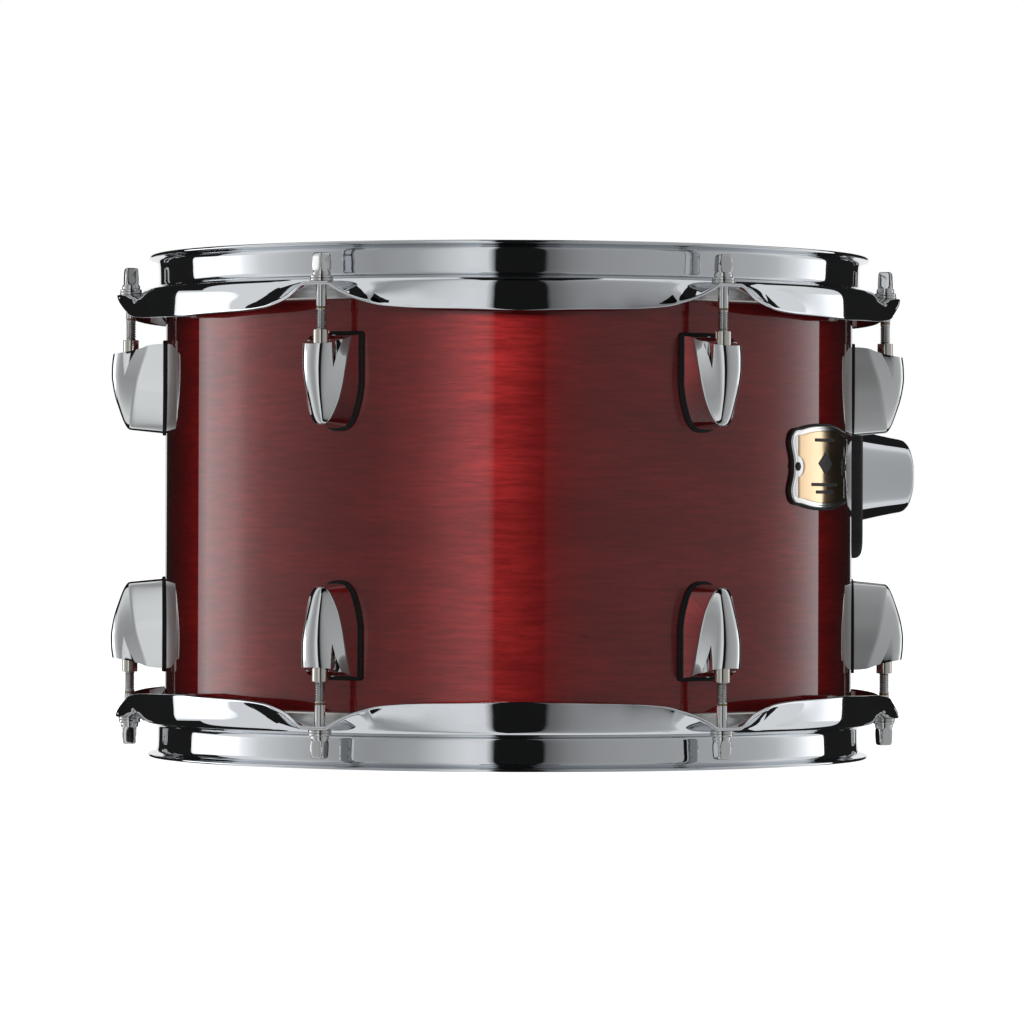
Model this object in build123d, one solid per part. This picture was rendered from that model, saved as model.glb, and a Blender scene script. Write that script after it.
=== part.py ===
from build123d import *
from math import sqrt
import os

# A 12 x 8 inch rack tom. Millimetres, +Z up towards the batter head, the badge facing -Y.
# The origin is the centre of the circle on which the drum stands, level with the lower rim.
# A height (..._Z) is measured from the drum's mid-plane: the lower side is the upper one mirrored.
# A radius (..._R) is measured from the drum's axis.

# Shell
SHELL_R = 152.0
SHELL_WALL = 6.0
SHELL_Z = 101.6
EDGE_IN_R = 149.9
EDGE_OUT_R = 150.5
RIM_Z = 110.0

# Heads
FILM_THICK = 0.35
COLLAR_IN_R = 152.35
COLLAR_R = 152.8
COLLAR_Z = 90.0
FLESH_R = 158.2
FLESH_LOW_Z = 86.2

# Hoops, pressed from one steel sheet
HOOP_SHEET = 1.6
HOOP_WALL_R = 155.0
HOOP_LIP_R = 158.8
HOOP_SKIRT_R = 162.0
HOOP_SKIRT_Z = 81.2
HOOP_SHOULDER_Z = 96.0
EAR_Z = 93.2
EAR_ARCH_Z = EAR_Z - HOOP_SHEET
EAR_END_R = 5.8
EAR_ROOT_HALF = 9.5

# Tension rods
ROD_ANGLES = (30, 90, 150, 210, 270, 330)
ROD_CIRCLE_R = 167.4
ROD_R = 2.3
ROD_END_Z = 44.0
ROD_HOLE_R = 2.8
WASHER_R = 4.9
WASHER_THICK = 1.3
ROD_COLLAR_R = 4.8
ROD_NECK_R = 3.7
ROD_HEAD_FLATS = 6.35
ROD_HEAD_Z = 105.2

# Lugs
GASKET_THICK = 1.2
GASKET_WIDTH = 23.0
GASKET_TIP_Z = 31.3
GASKET_NUT_Z = 73.6
LUG_WIDTH = 21.0
LUG_TIP_Z = 32.3
LUG_NUT_Z = 72.8
LUG_TIP_RADIUS = 9.5
NUT_R = 4.8
NUT_LOW_Z = 51.0
NUT_HIGH_Z = 65.5
SLEEVE_R = 3.45
SLEEVE_Z = 73.3
NUT_BORE_R = 2.35
NUT_PLAY = 0.05
LUG_SCREW_Z = (39.0, 69.4)
LUG_SCREW_R = 1.98
LUG_SCREW_HOLE_R = 2.2
LUG_SCREW_TIP = 5.0
LUG_SCREW_HEAD_R = 3.8
LUG_SCREW_HEAD = 2.6
LUG_WASHER_R = 6.0
LUG_WASHER_THICK = 1.2

# Badge
BADGE_Z = 17.6
BADGE_HALF = 30.4
BADGE_CORNER = 14.4
BADGE_CROWN = 18.7
BADGE_WAIST = 28.2
BADGE_GASKET_THICK = 0.8
BADGE_PLATE_THICK = 1.2
BADGE_INSET = 1.3
BADGE_RIVET_X = 23.8
BADGE_RIVET_R = 1.5

# Tom mount
MOUNT_ANGLE = 45
MOUNT_Z = 15.0
MOUNT_WIDTH = 53.0
MOUNT_HEIGHT = 75.0
MOUNT_CORNER = 9.0
MOUNT_GASKET_THICK = 1.5
MOUNT_STEP_R = 158.0
MOUNT_PLATE_R = 160.3
MOUNT_STEP = 2.0
HOUSING_BASE_RADIUS = 21.8
HOUSING_END_RADIUS = 16.5
HOUSING_SHOULDER_R = 185.6
HOUSING_R = 187.0
RECEIVER_RADIUS = 6.0
RECEIVER_FLOOR_R = 162.0
BUSHING_RADIUS = 10.0
BUSHING_FLANGE_RADIUS = 11.5
BUSHING_R = 188.4
CLAMP_R = 172.0
CLAMP_BOSS_RADIUS = 7.5
CLAMP_BOSS_END = 24.0
CLAMP_SCREW_RADIUS = 2.95
CLAMP_THREAD_RADIUS = 3.0
PAD_RADIUS = 3.95
PAD_HOLE_RADIUS = 4.0
PAD_FACE = 6.3
PAD_BACK = 10.6
WING_HUB_RADIUS = 6.0
WING_HUB_START = 27.5
WING_HUB_END = 37.5
WING_HALF_SPAN = 17.5
WING_THICK = 4.0
MOUNT_BOLT_OFFSET = 27.0
MOUNT_BOLT_R = 2.95
MOUNT_BOLT_HOLE_R = 3.3
MOUNT_BOLT_TIP_R = 157.5
BACKING_WIDTH = 22.0
BACKING_HEIGHT = 72.0
BACKING_THICK = 2.0

# Vent
VENT_ANGLE = 180
VENT_BORE = 3.5
VENT_TUBE = 5.0
VENT_FLANGE = 8.0
VENT_FLANGE_THICK = 1.2

SHELL_IN_R = SHELL_R - SHELL_WALL
HOOP_IN_R = HOOP_WALL_R - HOOP_SHEET


def ring(points):
    """Turn a closed (radius, height) outline about the drum's axis."""
    return revolve(Plane.XZ * make_face(Polyline(*points, close=True)), axis=Axis.Z)


def tube(inner, outer, low, high):
    """A plain tube about the drum's axis."""
    return ring([(inner, low), (outer, low), (outer, high), (inner, high)])


def radial_plane(radius, height):
    """A plane facing out of the shell on the badge side: its x is along +X and its y is up."""
    return Plane(origin=(0, -radius, height), x_dir=(1, 0, 0), z_dir=(0, -1, 0))


def peg(radius, inner, outer, height, across=0.0):
    """A cylinder that points out of the shell, between two distances from the drum's axis."""
    plane = radial_plane(inner, height)
    return extrude(plane * Pos(across, 0) * Circle(radius), outer - inner)


def pinned(radius, start, end, at_r, height):
    """A cylinder that runs sideways, along +X, beside the shell."""
    plane = Plane(origin=(start, -at_r, height), x_dir=(0, 1, 0), z_dir=(1, 0, 0))
    return extrude(plane * Circle(radius), end - start)


def inner_plane_r(half_width):
    """How far out a flat piece of that half-width can stand inside the shell."""
    return sqrt(SHELL_IN_R**2 - half_width**2) - 0.02


def around(shape, angle):
    """Carry a shape from the badge side to an angle about the drum's axis."""
    return Rot(0, 0, angle) * shape


def upper(shape):
    """Put a shape that is measured from the mid-plane in its place."""
    return Pos(0, 0, RIM_Z) * shape


def lower(shape):
    """The same on the lower side of the drum."""
    return Pos(0, 0, RIM_Z) * mirror(shape, about=Plane.XY)


def copies(shape, side):
    """One copy at each rod."""
    return Compound(children=[side(around(shape, angle)) for angle in ROD_ANGLES])


def lug_outline(width, tip_z, nut_z, tip_radius, nut_radius):
    """A flat outline that is nearly square at the nut end and well rounded at the tip."""
    length = nut_z - tip_z
    tall = Pos(0, nut_z) * RectangleRounded(width, 2 * length, tip_radius)
    short = Pos(0, tip_z + length / 2) * RectangleRounded(width, length, nut_radius)
    return tall & short


def hugging(outline, inner, outer):
    """Bend a flat outline on to the drum as a plate between two radii."""
    slab = extrude(radial_plane(inner - 14, 0) * outline, outer - inner + 20)
    return slab & tube(inner, outer, -SHELL_Z, SHELL_Z)


def lug_gasket():
    plate = hugging(
        lug_outline(GASKET_WIDTH, GASKET_TIP_Z, GASKET_NUT_Z, LUG_TIP_RADIUS + 1, 2.5),
        SHELL_R,
        SHELL_R + GASKET_THICK,
    )
    for height in LUG_SCREW_Z:
        plate -= peg(LUG_SCREW_HOLE_R, SHELL_IN_R, ROD_CIRCLE_R, height)
    return plate


def lug_section(height, base_half, crease_half, crease_out, spine_half, spine_side, spine_out):
    """The lug's outline across one height; the ..._out values are distances from the shell."""

    def point(half, out):
        return (half, -(SHELL_R + out))

    corners = [point(spine_half, spine_side), point(crease_half, crease_out), point(base_half, -1)]
    mirrored = [(-x, y) for x, y in reversed(corners)]
    sides = Polyline(*corners, *mirrored)
    spine = ThreePointArc(corners[0], point(0, spine_out), mirrored[-1])
    return Pos(0, 0, height) * make_face([*sides.edges(), spine])


def lug_casing():
    """A die-cast lug: a block with sloping sides, and a spine that swells around the nut."""
    body = loft([
        lug_section(LUG_TIP_Z, 9.4, 4.6, 14.6, 3.6, 15.2, 15.9),
        lug_section(42.0, 10.3, 6.6, 14.2, 5.0, 17.0, 20.2),
        lug_section(50.0, 10.4, 8.0, 12.9, 6.0, 17.8, 22.8),
        lug_section(57.5, 10.5, 9.0, 11.0, 7.0, 17.4, 23.9),
        lug_section(65.0, 10.5, 9.8, 8.6, 7.6, 16.0, 23.6),
        lug_section(LUG_NUT_Z, 10.5, 10.2, 5.4, 7.7, 15.0, 22.4),
    ])
    outline = lug_outline(LUG_WIDTH, LUG_TIP_Z, LUG_NUT_Z, LUG_TIP_RADIUS, 1.5)
    body &= extrude(radial_plane(SHELL_R - 5, 0) * outline, 40)
    body -= tube(SHELL_IN_R - 20, SHELL_R + GASKET_THICK, 0, SHELL_Z)
    body -= nut_end_hollow()
    body -= Pos(0, -ROD_CIRCLE_R, 0) * nut_pocket()
    for height in LUG_SCREW_Z:
        body -= peg(LUG_SCREW_R + 0.02, SHELL_R, SHELL_R + LUG_SCREW_TIP + 0.5, height)
    return body


def nut_end_hollow():
    """What is scooped off the nut end, from the base block's top down to the spine's end."""
    foot = (-(SHELL_R + 5.2), LUG_NUT_Z)
    spine = (-(SHELL_R + 23.4), 67.0)
    scoop = ThreePointArc(foot, (-(SHELL_R + 13.6), 69.0), spine)
    rest = Polyline(spine, (spine[0] - 6, 67.0), (spine[0] - 6, 80.0), (foot[0], 80.0), foot)
    face = make_face([*scoop.edges(), *rest.edges()])
    return extrude(Plane.YZ * face, LUG_WIDTH, both=True)


def nut_pocket():
    """The room for the nut, open towards the shell, and for the rod's end below it."""
    body = Pos(0, 0, NUT_LOW_Z - NUT_PLAY) * extrude(
        Circle(NUT_R + NUT_PLAY) + Pos(0, 9) * Rectangle(2 * (NUT_R + NUT_PLAY), 18),
        NUT_HIGH_Z - NUT_LOW_Z + 2 * NUT_PLAY,
    )
    neck = Pos(0, 0, NUT_HIGH_Z) * extrude(Circle(SLEEVE_R + NUT_PLAY), 12)
    tail = Pos(0, 0, ROD_END_Z - 1.5) * extrude(Circle(3.0), NUT_LOW_Z - ROD_END_Z + 2)
    return body + neck + tail


def lug_nut():
    """A threaded insert with a sleeve that stands out of the lug."""
    profile = [
        (NUT_BORE_R, NUT_LOW_Z),
        (NUT_R, NUT_LOW_Z),
        (NUT_R, NUT_HIGH_Z),
        (SLEEVE_R, NUT_HIGH_Z),
        (SLEEVE_R, SLEEVE_Z - 0.4),
        (SLEEVE_R - 0.4, SLEEVE_Z),
        (NUT_BORE_R, SLEEVE_Z),
    ]
    return Pos(0, -ROD_CIRCLE_R, 0) * ring(profile)


def lug_screws():
    seat = inner_plane_r(LUG_WASHER_R) - LUG_WASHER_THICK
    tip = SHELL_R + LUG_SCREW_TIP
    screws = []
    for height in LUG_SCREW_Z:
        screw = peg(LUG_SCREW_HEAD_R, seat - LUG_SCREW_HEAD, seat, height)
        screw += peg(LUG_SCREW_R, seat, tip, height)
        slot = radial_plane(seat - LUG_SCREW_HEAD, height) * Rectangle(5.6, 1.0)
        screws.append(screw - extrude(slot, 1.2))
    return screws


def lug_washers():
    outer = inner_plane_r(LUG_WASHER_R)
    washers = []
    for height in LUG_SCREW_Z:
        washer = peg(LUG_WASHER_R, outer - LUG_WASHER_THICK, outer, height)
        washers.append(washer - peg(LUG_SCREW_HOLE_R, SHELL_IN_R - 9, SHELL_R, height))
    return washers


def hoop():
    """A triple-flanged hoop: rolled-out lip, wall, shoulder and skirt, with an ear at each rod."""
    under = HOOP_SHOULDER_Z - HOOP_SHEET
    body = ring([
        (HOOP_IN_R, under + 0.5),
        (HOOP_IN_R, RIM_Z - 1.9),
        (HOOP_IN_R + 1.2, RIM_Z),
        (HOOP_LIP_R - 0.6, RIM_Z),
        (HOOP_LIP_R, RIM_Z - 0.5),
        (HOOP_LIP_R - 0.3, RIM_Z - 1.5),
        (HOOP_WALL_R + 0.9, RIM_Z - 1.7),
        (HOOP_WALL_R, RIM_Z - 2.6),
        (HOOP_WALL_R, HOOP_SHOULDER_Z + 0.5),
        (HOOP_WALL_R + 0.8, HOOP_SHOULDER_Z),
        (HOOP_SKIRT_R - 1.4, HOOP_SHOULDER_Z - 0.2),
        (HOOP_SKIRT_R, HOOP_SHOULDER_Z - 1.6),
        (HOOP_SKIRT_R, HOOP_SKIRT_Z),
        (HOOP_SKIRT_R - HOOP_SHEET, HOOP_SKIRT_Z),
        (HOOP_SKIRT_R - HOOP_SHEET, under - 0.6),
        (HOOP_SKIRT_R - HOOP_SHEET - 0.5, under),
        (HOOP_IN_R + 0.5, under),
    ])
    for angle in ROD_ANGLES:
        body -= around(ear_arch(), angle)
        body += around(ear(), angle)
    for angle in ROD_ANGLES:
        hole = extrude(Pos(0, -ROD_CIRCLE_R, EAR_ARCH_Z - 2) * Circle(ROD_HOLE_R), 6)
        body -= around(hole, angle)
    return body


def ear_arch():
    """What is cut out of the skirt under an ear, rising from a long low sweep to the ear."""
    top = EAR_ARCH_Z
    half = [(5.4, top), (7.8, 90.4), (13.5, 87.5), (27.0, 83.5), (56.0, HOOP_SKIRT_Z)]
    right = Spline(*half)
    left = Spline(*[(-x, z) for x, z in half])
    bottom = Polyline(half[-1], (56.0, 70), (-56.0, 70), (-half[-1][0], half[-1][1]))
    roof = Line((-half[0][0], top), half[0])
    face = make_face([roof, *right.edges(), *bottom.edges(), *left.edges()])
    return extrude(radial_plane(HOOP_SKIRT_R - 20, 0) * face, 40)


def ear():
    """The flat tongue that carries a washer and a rod head."""
    root = SHELL_R + 8.0
    sides = Polyline(
        (-EAR_ROOT_HALF, -root),
        (-EAR_ROOT_HALF, -HOOP_SKIRT_R),
        (-EAR_END_R, -ROD_CIRCLE_R + 2.5),
        (-EAR_END_R, -ROD_CIRCLE_R),
        (EAR_END_R, -ROD_CIRCLE_R),
        (EAR_END_R, -ROD_CIRCLE_R + 2.5),
        (EAR_ROOT_HALF, -HOOP_SKIRT_R),
        (EAR_ROOT_HALF, -root),
        close=True,
    )
    outline = make_face(sides) + Pos(0, -ROD_CIRCLE_R) * Circle(EAR_END_R)
    return Pos(0, 0, EAR_ARCH_Z) * extrude(outline, HOOP_SHEET)


def film():
    """The head's flat playing surface, resting on the bearing edge."""
    return Pos(0, 0, SHELL_Z) * extrude(Circle(EDGE_OUT_R + 0.5), FILM_THICK)


def collar():
    """The film's formed collar, from the bearing edge down into the flesh hoop."""
    start = EDGE_OUT_R + 0.5
    return ring([
        (start, SHELL_Z),
        (start, SHELL_Z + FILM_THICK),
        (COLLAR_R - 0.6, SHELL_Z - 0.3),
        (COLLAR_R, SHELL_Z - 1.3),
        (COLLAR_R, COLLAR_Z),
        (COLLAR_IN_R, COLLAR_Z),
        (COLLAR_IN_R, SHELL_Z - 1.35),
    ])


def flesh_hoop():
    """An aluminium channel rolled round the edge of the film."""
    top = HOOP_SHOULDER_Z - HOOP_SHEET
    return ring([
        (COLLAR_R, FLESH_LOW_Z + 0.8),
        (COLLAR_R + 0.8, FLESH_LOW_Z),
        (FLESH_R - 0.8, FLESH_LOW_Z),
        (FLESH_R, FLESH_LOW_Z + 0.8),
        (FLESH_R, top - 0.8),
        (FLESH_R - 0.8, top),
        (COLLAR_R + 0.8, top),
        (COLLAR_R, top - 0.8),
    ])


def rod_washer():
    low = EAR_Z
    washer = ring([
        (ROD_HOLE_R, low),
        (WASHER_R, low),
        (WASHER_R, low + WASHER_THICK - 0.3),
        (WASHER_R - 0.3, low + WASHER_THICK),
        (ROD_HOLE_R, low + WASHER_THICK),
    ])
    return Pos(0, -ROD_CIRCLE_R, 0) * washer


def tension_rod():
    """A drum-key rod: square head, flared collar and a plain shank with a threaded end."""
    seat = EAR_Z + WASHER_THICK
    shank = ring([
        (0, ROD_END_Z),
        (ROD_R - 0.7, ROD_END_Z),
        (ROD_R, ROD_END_Z + 0.9),
        (ROD_R, seat),
        (ROD_COLLAR_R, seat),
        (ROD_COLLAR_R, seat + 1.2),
        (ROD_NECK_R + 0.3, seat + 2.0),
        (ROD_NECK_R, seat + 3.2),
        (ROD_NECK_R, seat + 3.8),
        (0, seat + 3.8),
    ])
    head = extrude(RectangleRounded(ROD_HEAD_FLATS, ROD_HEAD_FLATS, 0.7), ROD_HEAD_Z - seat - 3.2)
    head = chamfer(head.faces().sort_by(Axis.Z)[-1].edges(), 0.5)
    return Pos(0, -ROD_CIRCLE_R, 0) * (shank + Pos(0, 0, seat + 3.2) * head)


def shell():
    """A six-ply birch tube with a bearing edge at each end and all of its drilled holes."""
    profile = [
        (SHELL_IN_R, 0),
        (SHELL_R, 0),
        (SHELL_R, SHELL_Z - 1.5),
        (EDGE_OUT_R, SHELL_Z),
        (EDGE_IN_R, SHELL_Z),
        (SHELL_IN_R, SHELL_Z - 3.9),
    ]
    half = ring(profile)
    for angle in ROD_ANGLES:
        for height in LUG_SCREW_Z:
            half -= around(peg(LUG_SCREW_HOLE_R, SHELL_IN_R - 4, SHELL_R + 4, height), angle)
    body = half + mirror(half, about=Plane.XY)
    for side in (-1, 1):
        height = MOUNT_Z + side * MOUNT_BOLT_OFFSET
        body -= around(peg(MOUNT_BOLT_HOLE_R, SHELL_IN_R - 4, SHELL_R + 4, height), MOUNT_ANGLE)
        body -= peg(BADGE_RIVET_R, SHELL_IN_R - 4, SHELL_R + 4, BADGE_Z, side * BADGE_RIVET_X)
    return body - around(peg(VENT_TUBE, SHELL_IN_R - 4, SHELL_R + 4, 0), VENT_ANGLE)


def badge_outline(inset):
    """A shield that is wide in the corners, bowed above and below and waisted at the sides."""
    x = BADGE_HALF - inset
    z = BADGE_CORNER - inset
    crown = BADGE_CROWN - inset
    waist = BADGE_WAIST - inset
    face = make_face([
        ThreePointArc((-x, z), (0, crown), (x, z)),
        ThreePointArc((x, z), (waist, 0), (x, -z)),
        ThreePointArc((x, -z), (0, -crown), (-x, -z)),
        ThreePointArc((-x, -z), (-waist, 0), (-x, z)),
    ])
    return Pos(0, BADGE_Z) * face


def badge_layer(inset, inner, outer):
    layer = hugging(badge_outline(inset), inner, outer)
    for side in (-1, 1):
        layer -= peg(BADGE_RIVET_R, SHELL_IN_R, SHELL_R + 9, BADGE_Z, side * BADGE_RIVET_X)
    return layer


def badge_rivets():
    """Two dome-headed rivets through the badge and the shell."""
    top = SHELL_R + BADGE_GASKET_THICK + BADGE_PLATE_THICK
    rivets = []
    for side in (-1, 1):
        across = side * BADGE_RIVET_X
        seat = sqrt(top**2 - (BADGE_RIVET_X - 2.6) ** 2)
        inside = sqrt(SHELL_IN_R**2 - (BADGE_RIVET_X + 2.6) ** 2)
        rivet = peg(2.5, seat, seat + 0.7, BADGE_Z, across)
        rivet += peg(1.7, seat, seat + 1.2, BADGE_Z, across)
        rivet += peg(BADGE_RIVET_R - 0.02, inside - 1, seat, BADGE_Z, across)
        rivet += peg(2.4, inside - 1.2, inside, BADGE_Z, across)
        rivets.append(upper(rivet))
    return Compound(children=rivets)


def mount_layer(inset, inner, outer):
    """A plate of the tom mount, bent on to the shell, with its bolt holes."""
    size = RectangleRounded(MOUNT_WIDTH - 2 * inset, MOUNT_HEIGHT - 2 * inset, MOUNT_CORNER - inset)
    layer = hugging(Pos(0, MOUNT_Z) * size, inner, outer)
    return layer


def mount_bolt_holes(radius, inner, outer):
    low = peg(radius, inner, outer, MOUNT_Z - MOUNT_BOLT_OFFSET)
    return low + peg(radius, inner, outer, MOUNT_Z + MOUNT_BOLT_OFFSET)


def mount_gasket():
    layer = mount_layer(0, SHELL_R, SHELL_R + MOUNT_GASKET_THICK)
    return layer - mount_bolt_holes(MOUNT_BOLT_HOLE_R, SHELL_IN_R, MOUNT_PLATE_R)


def mount_plate():
    inner = SHELL_R + MOUNT_GASKET_THICK
    plate = mount_layer(0.3, inner, MOUNT_STEP_R)
    plate += mount_layer(MOUNT_STEP, MOUNT_STEP_R - 0.1, MOUNT_PLATE_R)
    return plate - mount_bolt_holes(MOUNT_BOLT_R + 0.02, SHELL_IN_R, MOUNT_BOLT_TIP_R + 0.2)


def mount_housing():
    """A tapered boss with a domed end, bored for the tom arm, and a side boss for its clamp."""
    root = MOUNT_PLATE_R - 4
    outline = [
        (0, 0),
        (HOUSING_BASE_RADIUS + 0.8, 0),
        (HOUSING_END_RADIUS, HOUSING_SHOULDER_R - root),
        (HOUSING_END_RADIUS - 0.4, HOUSING_R - root - 0.4),
        (BUSHING_FLANGE_RADIUS, HOUSING_R - root),
        (0, HOUSING_R - root),
    ]
    body = radial_plane(root, MOUNT_Z) * ring(outline)
    body += pinned(CLAMP_BOSS_RADIUS, 0, CLAMP_BOSS_END, CLAMP_R, MOUNT_Z)
    body -= tube(SHELL_IN_R, MOUNT_PLATE_R, -SHELL_Z, SHELL_Z)
    body -= peg(BUSHING_RADIUS, RECEIVER_FLOOR_R, HOUSING_R + 5, MOUNT_Z)
    body -= pinned(PAD_HOLE_RADIUS, 0, PAD_BACK, CLAMP_R, MOUNT_Z)
    return body - pinned(CLAMP_THREAD_RADIUS, 0, CLAMP_BOSS_END + 5, CLAMP_R, MOUNT_Z)


def mount_bushing():
    body = peg(BUSHING_RADIUS, RECEIVER_FLOOR_R, BUSHING_R, MOUNT_Z)
    body += peg(BUSHING_FLANGE_RADIUS, HOUSING_R, BUSHING_R, MOUNT_Z)
    body -= peg(RECEIVER_RADIUS, RECEIVER_FLOOR_R, BUSHING_R, MOUNT_Z)
    return body - pinned(PAD_HOLE_RADIUS, 0, BUSHING_RADIUS + 2, CLAMP_R, MOUNT_Z)


def clamp_pad():
    return pinned(PAD_RADIUS, PAD_FACE, PAD_BACK - 0.1, CLAMP_R, MOUNT_Z)


def wing_screw():
    """A wing screw: a plain threaded shank, a hub and two paddles."""
    screw = pinned(CLAMP_SCREW_RADIUS, PAD_BACK - 0.1, WING_HUB_START + 1, CLAMP_R, MOUNT_Z)
    screw += pinned(WING_HUB_RADIUS, WING_HUB_START, WING_HUB_END, CLAMP_R, MOUNT_Z)
    for side in (-1, 1):
        paddle = Pos(side * (WING_HALF_SPAN - 6), 0) * RectangleRounded(12, WING_HUB_END - 28.5, 3.5)
        paddle += Pos(side * WING_HUB_RADIUS, 0) * Rectangle(8, 6)
        plane = Plane(
            origin=((WING_HUB_START + WING_HUB_END) / 2, -CLAMP_R, MOUNT_Z),
            x_dir=(0, 0, 1),
            z_dir=(0, 1, 0),
        )
        screw += extrude(plane * paddle, WING_THICK / 2, both=True)
    return screw


def mount_backing():
    """A steel strip inside the shell that spreads the load of the mount's two bolts."""
    outer = inner_plane_r(BACKING_WIDTH / 2)
    plane = radial_plane(outer - BACKING_THICK, MOUNT_Z)
    strip = extrude(plane * RectangleRounded(BACKING_WIDTH, BACKING_HEIGHT, 4), BACKING_THICK)
    return strip - mount_bolt_holes(MOUNT_BOLT_HOLE_R, SHELL_IN_R - 20, SHELL_R)


def mount_bolts():
    """Two hexagon-head bolts from inside the shell."""
    seat = inner_plane_r(BACKING_WIDTH / 2) - BACKING_THICK - 1.2
    bolts = []
    for side in (-1, 1):
        height = MOUNT_Z + side * MOUNT_BOLT_OFFSET
        head = extrude(radial_plane(seat - 4, height) * RegularPolygon(5.77, 6), 4)
        bolt = head + peg(MOUNT_BOLT_R, seat, MOUNT_BOLT_TIP_R, height)
        bolts.append(upper(around(bolt, MOUNT_ANGLE)))
    return Compound(children=bolts)


def mount_washers():
    outer = inner_plane_r(BACKING_WIDTH / 2) - BACKING_THICK
    washers = []
    for side in (-1, 1):
        height = MOUNT_Z + side * MOUNT_BOLT_OFFSET
        washer = peg(6.0, outer - 1.2, outer, height)
        washer -= peg(MOUNT_BOLT_HOLE_R, outer - 3, outer + 3, height)
        washers.append(upper(around(washer, MOUNT_ANGLE)))
    return Compound(children=washers)


def vent_grommet():
    """A rolled brass eyelet that lets air out of the shell."""
    inner = inner_plane_r(VENT_FLANGE)
    body = peg(VENT_TUBE - 0.02, inner - 1, SHELL_R + 1, 0)
    body += peg(VENT_FLANGE, SHELL_R, SHELL_R + VENT_FLANGE_THICK, 0)
    body += peg(VENT_FLANGE, inner - VENT_FLANGE_THICK, inner, 0)
    return body - peg(VENT_BORE, SHELL_IN_R - 9, SHELL_R + 9, 0)


def write(name, shape):
    export_step(shape, f"parts/{name}.step")


def write_side(name, side):
    """Everything that a head, its hoop and its six lugs are made of."""
    write(f"{name}_hoop", side(hoop()))
    write(f"{name}_film", side(film()))
    write(f"{name}_collar", side(collar()))
    write(f"{name}_flesh_hoop", side(flesh_hoop()))
    write(f"{name}_rod_washers", copies(rod_washer(), side))
    write(f"{name}_lug_gaskets", copies(lug_gasket(), side))
    write(f"{name}_lug_nuts", copies(lug_nut(), side))
    screws = [copies(screw, side) for screw in lug_screws()]
    washers = [copies(washer, side) for washer in lug_washers()]
    write(f"{name}_lug_screws", Compound(children=screws))
    write(f"{name}_lug_washers", Compound(children=washers))
    rod = tension_rod()
    casing = lug_casing()
    for number, angle in enumerate(ROD_ANGLES, start=1):
        write(f"{name}_rod_{number}", side(around(rod, angle)))
        write(f"{name}_lug_{number}", side(around(casing, angle)))


def write_badge():
    gasket_top = SHELL_R + BADGE_GASKET_THICK
    plate_top = gasket_top + BADGE_PLATE_THICK
    write("badge_gasket", upper(badge_layer(0, SHELL_R, gasket_top)))
    write("badge_plate", upper(badge_layer(BADGE_INSET, gasket_top, plate_top)))
    write("badge_rivets", badge_rivets())


def write_mount():
    pieces = {
        "mount_gasket": mount_gasket(),
        "mount_plate": mount_plate(),
        "mount_housing": mount_housing(),
        "mount_bushing": mount_bushing(),
        "mount_clamp_pad": clamp_pad(),
        "mount_wing_screw": wing_screw(),
        "mount_backing": mount_backing(),
    }
    for name, piece in pieces.items():
        write(name, upper(around(piece, MOUNT_ANGLE)))
    write("mount_bolts", mount_bolts())
    write("mount_washers", mount_washers())


os.makedirs("parts", exist_ok=True)
write("shell", upper(shell()))
write_side("batter", upper)
write_side("resonant", lower)
write_badge()
write_mount()
write("vent_grommet", upper(around(vent_grommet(), VENT_ANGLE)))
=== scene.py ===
"""The looks of a 12 x 8 inch rack tom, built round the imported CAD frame.

Scene units are metres, +Z up, badge towards -Y. Shapes are written in millimetres like the CAD:
a radius is measured from the drum's axis and a height from its mid-plane. An angle starts at the
badge and grows towards +X.
"""

import math
import random

import bpy
import numpy as np
from mathutils import Matrix, Vector


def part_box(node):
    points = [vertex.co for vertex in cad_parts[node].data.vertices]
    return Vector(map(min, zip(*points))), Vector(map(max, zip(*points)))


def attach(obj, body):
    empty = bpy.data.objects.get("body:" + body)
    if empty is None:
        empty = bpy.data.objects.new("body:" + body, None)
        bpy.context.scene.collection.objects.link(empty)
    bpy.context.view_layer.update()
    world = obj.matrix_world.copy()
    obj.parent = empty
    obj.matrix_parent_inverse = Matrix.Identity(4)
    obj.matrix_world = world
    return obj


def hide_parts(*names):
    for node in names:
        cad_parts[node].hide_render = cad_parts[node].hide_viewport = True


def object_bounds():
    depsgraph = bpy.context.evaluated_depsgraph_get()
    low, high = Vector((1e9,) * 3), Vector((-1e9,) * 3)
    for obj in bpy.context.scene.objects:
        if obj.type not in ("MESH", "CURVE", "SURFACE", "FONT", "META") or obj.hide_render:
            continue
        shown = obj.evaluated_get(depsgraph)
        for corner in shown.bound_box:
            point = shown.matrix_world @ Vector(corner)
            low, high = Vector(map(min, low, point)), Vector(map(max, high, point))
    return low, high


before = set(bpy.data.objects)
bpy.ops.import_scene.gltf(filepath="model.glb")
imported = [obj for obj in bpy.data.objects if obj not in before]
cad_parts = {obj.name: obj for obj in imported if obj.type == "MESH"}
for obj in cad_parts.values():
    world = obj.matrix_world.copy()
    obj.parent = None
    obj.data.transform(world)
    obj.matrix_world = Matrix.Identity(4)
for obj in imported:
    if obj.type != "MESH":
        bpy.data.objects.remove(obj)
cad_low, cad_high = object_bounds()

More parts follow.
